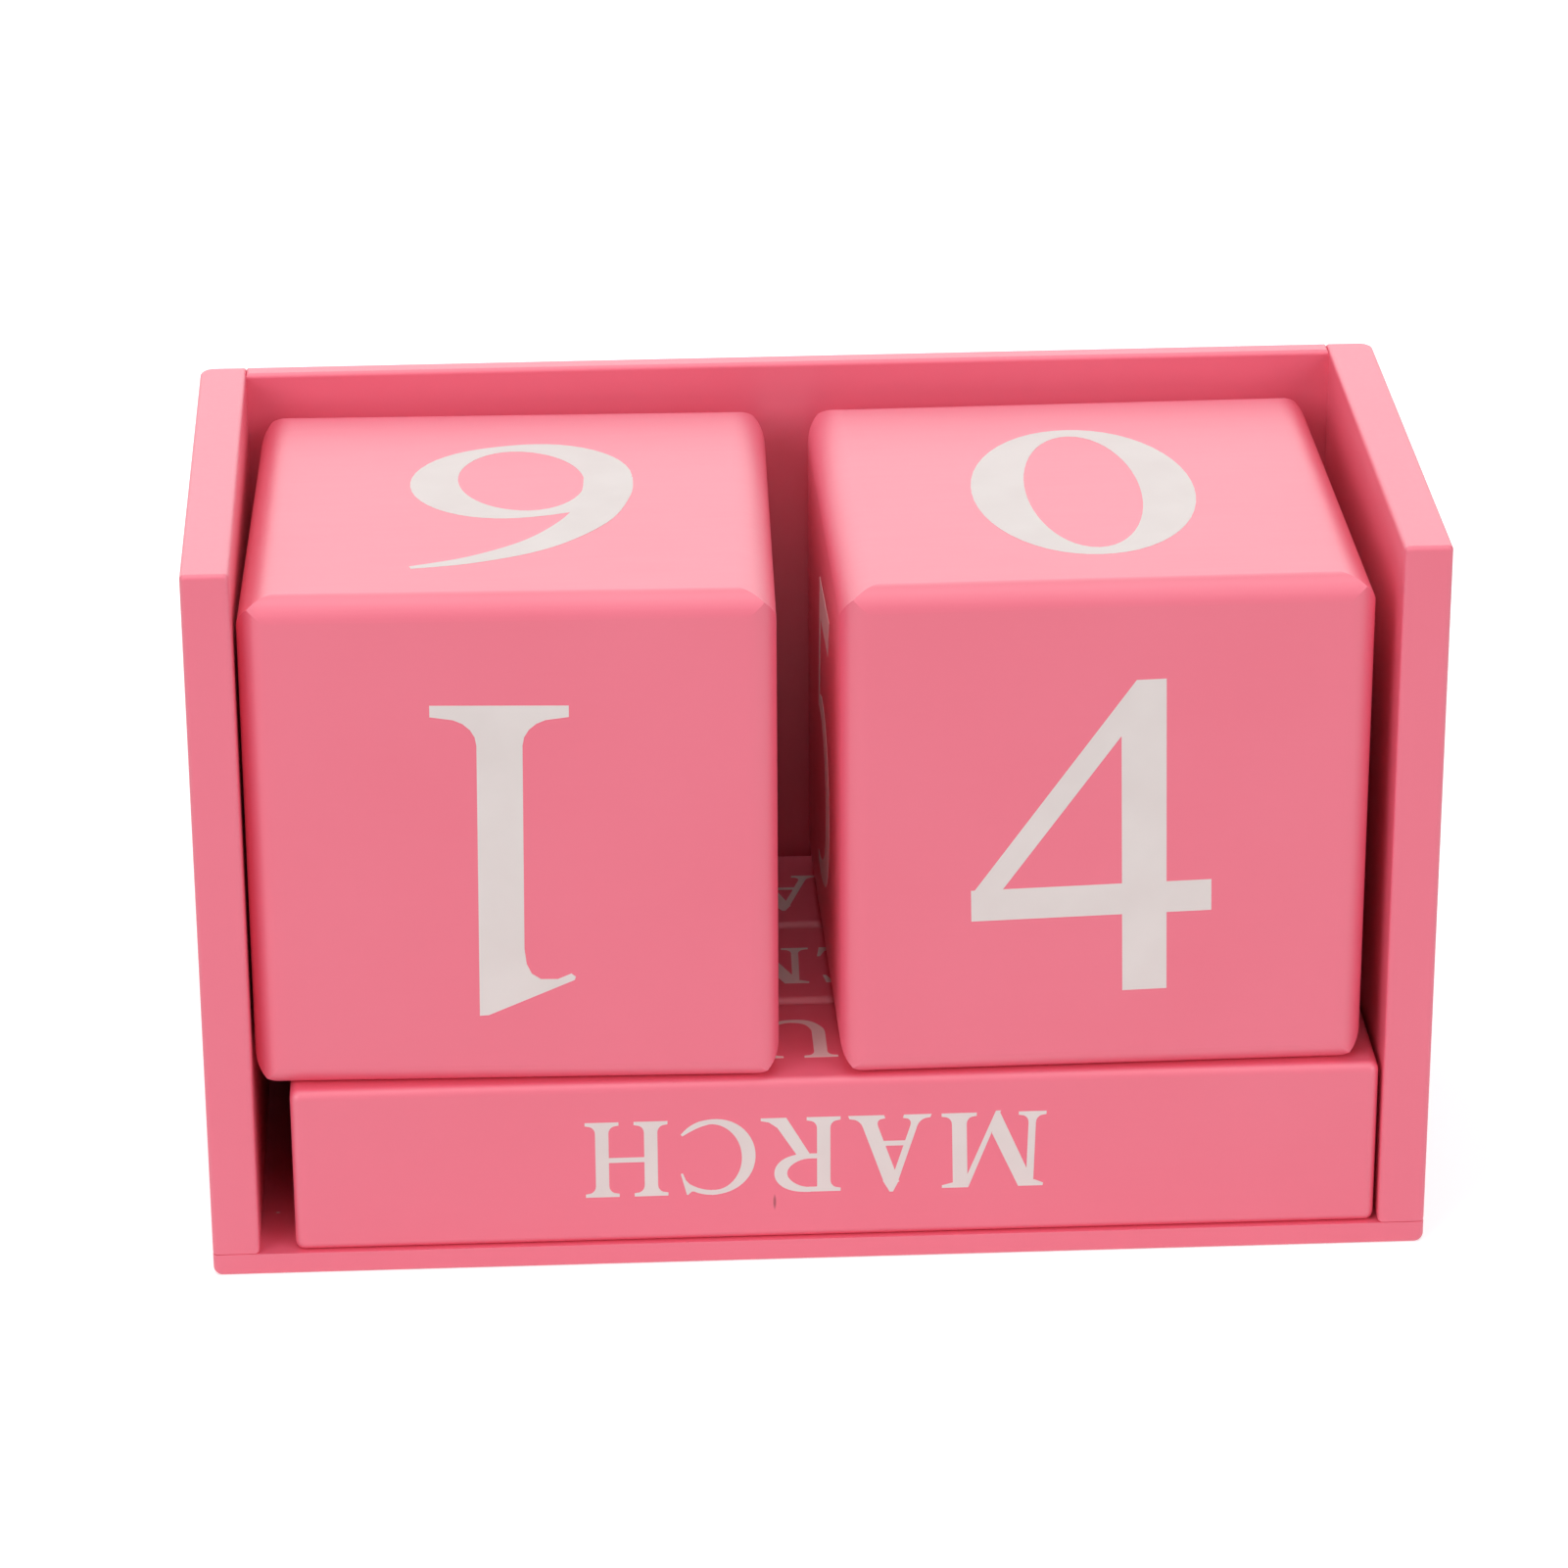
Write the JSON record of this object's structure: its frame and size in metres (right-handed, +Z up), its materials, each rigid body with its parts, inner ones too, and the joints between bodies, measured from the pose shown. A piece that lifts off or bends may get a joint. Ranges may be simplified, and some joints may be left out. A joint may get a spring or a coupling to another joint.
{
  "type": "perpetual block calendar",
  "caption": "Open-fronted wooden tray holding stacked number cubes on square month bars, turned and swapped by hand to show the date.",
  "frame": {"origin": "on the table under the middle of the tray", "axes": "+X along the tray's width to the right as seen from the open front, +Y to the back, +Z up"},
  "size_m": [0.129, 0.061, 0.08],
  "materials": {
    "tray_paint": "satin pink paint on sanded board",
    "block_paint": "satin pink paint on sanded solid wood",
    "white_print": "flat off-white screen print on the painted wood"
  },
  "bodies": {
    "tray": {"base_panel": "tray_paint", "left_side_panel": "tray_paint", "right_side_panel": "tray_paint", "back_panel": "tray_paint"},
    "rear_bar": {"rear_month_bar": "block_paint"},
    "middle_bar": {"middle_month_bar": "block_paint"},
    "front_bar": {"front_month_bar": "block_paint"},
    "tens_block": {"tens_cube": "block_paint"},
    "units_block": {"units_cube": "block_paint"}
  },
  "joints": [
    {"name": "tens_cube_lift", "type": "slide", "parent": "tray", "child": "tens_block", "axis": [0, 0, 1], "range_m": [0, 0.064]},
    {"name": "units_cube_lift", "type": "slide", "parent": "tray", "child": "units_block", "axis": [0, 0, 1], "range_m": [0, 0.064]},
    {"name": "rear_bar_slide", "type": "slide", "parent": "tray", "child": "rear_bar", "axis": [0, -1, 0], "range_m": [0, 0.06]},
    {"name": "middle_bar_slide", "type": "slide", "parent": "rear_bar", "child": "middle_bar", "axis": [0, -1, 0], "range_m": [0, 0.04]},
    {"name": "front_bar_slide", "type": "slide", "parent": "middle_bar", "child": "front_bar", "axis": [0, -1, 0], "range_m": [0, 0.022]}
  ]
}
